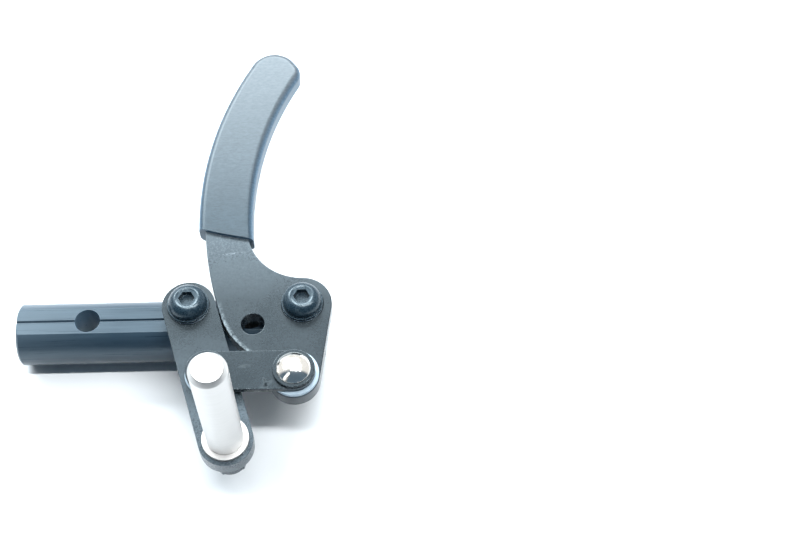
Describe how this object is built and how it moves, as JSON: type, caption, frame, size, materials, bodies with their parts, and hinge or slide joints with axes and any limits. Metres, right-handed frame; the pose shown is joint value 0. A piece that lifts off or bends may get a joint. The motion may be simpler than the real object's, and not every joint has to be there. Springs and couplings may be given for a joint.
{
  "type": "push-to-lock wheel brake lever",
  "caption": "Over-centre wheel brake: a curved hand lever drives a link and a brake arm, whose pin presses on the tyre; all pivot on a round mounting bar.",
  "frame": {"origin": "centre of the mounting bar's first fixing hole, on the bar's axis", "axes": "+X along the bar towards the pivots, +Y towards the hand grip, +Z along the brake pin"},
  "size_m": [0.1128, 0.1711, 0.085],
  "materials": {
    "anodised_bar": "black anodised, fine matt",
    "plain_steel": "turned",
    "black_hardware": "black oxide, oiled",
    "coated_plate": "dark grey satin coating",
    "soft_grip": "soft vinyl with a fine grain",
    "nylon": "natural nylon",
    "nickel": "nickel plated",
    "satin_pin": "satin plated",
    "nylon_insert": "moulded"
  },
  "bodies": {
    "frame": {"mounting_bar": "anodised_bar", "arm_pivot_sleeve": "plain_steel", "lever_pivot_sleeve": "plain_steel", "arm_pivot_washer": "black_hardware", "lever_pivot_washer": "black_hardware", "arm_pivot_screw": "black_hardware", "lever_pivot_screw": "black_hardware"},
    "hand_lever": {"lever_plate": "coated_plate", "lever_grip": "soft_grip", "lever_bush": "nylon", "lever_thrust_washer": "nylon", "lever_rivet": "nickel", "lever_rivet_washer": "coated_plate", "lever_link_spacer": "nylon"},
    "link": {"link_plate": "coated_plate"},
    "arm": {"brake_arm": "coated_plate", "arm_bush": "nylon", "arm_thrust_washer": "nylon", "arm_rivet": "nickel", "arm_rivet_washer": "coated_plate", "arm_link_spacer": "nylon", "brake_pin": "satin_pin", "pin_collar": "satin_pin", "pin_nut_washer": "black_hardware", "pin_nut": "black_hardware", "pin_nut_insert": "nylon_insert"}
  },
  "joints": [
    {"name": "lever_pivot", "type": "hinge", "parent": "frame", "child": "hand_lever", "pos_m": [0.0772, 0, 0.0166], "axis": [0, 0, 1], "range_deg": [-60, 0]},
    {"name": "link_pivot", "type": "hinge", "parent": "hand_lever", "child": "link", "pos_m": [0.0747, -0.0276, 0.0224], "axis": [0, 0, 1], "range_deg": [0, 90.5]},
    {"name": "arm_pivot", "type": "hinge", "parent": "frame", "child": "arm", "pos_m": [0.0372, 0, 0.0166], "axis": [0, 0, 1], "range_deg": [-39, 0]}
  ],
  "couplings": [
    {"joint": "link_pivot", "follows": "lever_pivot", "ratio": -1.5035},
    {"joint": "arm_pivot", "follows": "lever_pivot", "ratio": 0.6453}
  ]
}
